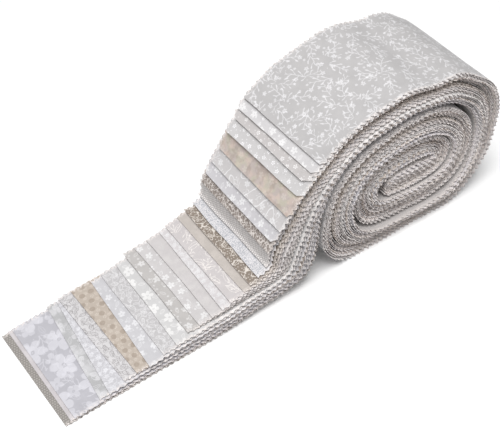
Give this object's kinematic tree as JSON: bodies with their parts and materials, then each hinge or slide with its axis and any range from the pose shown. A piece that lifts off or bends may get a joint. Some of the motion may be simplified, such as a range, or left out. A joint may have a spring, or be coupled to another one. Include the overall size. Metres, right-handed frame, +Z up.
{
  "type": "roll of precut fabric strips",
  "caption": "Roll of narrow cotton quilting strips with pinked edges, lying on its side, its stacked free ends let down to one side in steps.",
  "frame": {"origin": "on the resting surface, under the middle of the whole object", "axes": "+X from the let-down free ends towards the roll, along the strips; +Y across the strips' width; +Z up"},
  "size_m": [0.2716, 0.066, 0.1027],
  "materials": {
    "wound_cotton": "matte",
    "cotton_01": "matte",
    "cotton_02": "matte",
    "cotton_03": "matte",
    "cotton_04": "matte",
    "cotton_05": "matte",
    "cotton_06": "matte",
    "cotton_07": "matte",
    "cotton_08": "matte",
    "cotton_09": "matte",
    "cotton_10": "matte",
    "cotton_11": "matte",
    "cotton_12": "matte",
    "cotton_13": "matte",
    "cotton_14": "matte",
    "cotton_15": "matte",
    "cotton_16": "matte",
    "cotton_17": "matte",
    "cotton_18": "matte",
    "cotton_19": "matte",
    "cotton_20": "matte",
    "cotton_21": "matte",
    "cotton_22": "matte",
    "cotton_23": "matte",
    "cotton_24": "matte",
    "cotton_25": "matte",
    "cotton_26": "matte",
    "cotton_27": "matte"
  },
  "bodies": {
    "root": {"roll": "wound_cotton", "strip_01": "cotton_01", "strip_02": "cotton_02", "strip_03": "cotton_03", "strip_04": "cotton_04", "strip_05": "cotton_05", "strip_06": "cotton_06", "strip_07": "cotton_07", "strip_08": "cotton_08", "strip_09": "cotton_09", "strip_10": "cotton_10", "strip_11": "cotton_11", "strip_12": "cotton_12", "strip_13": "cotton_13", "strip_14": "cotton_14", "strip_15": "cotton_15", "strip_16": "cotton_16", "strip_17": "cotton_17", "strip_18": "cotton_18", "strip_19": "cotton_19", "strip_20": "cotton_20", "strip_21": "cotton_21", "strip_22": "cotton_22", "strip_23": "cotton_23", "strip_24": "cotton_24", "strip_25": "cotton_25", "strip_26": "cotton_26", "strip_27": "cotton_27"}
  },
  "joints": []
}
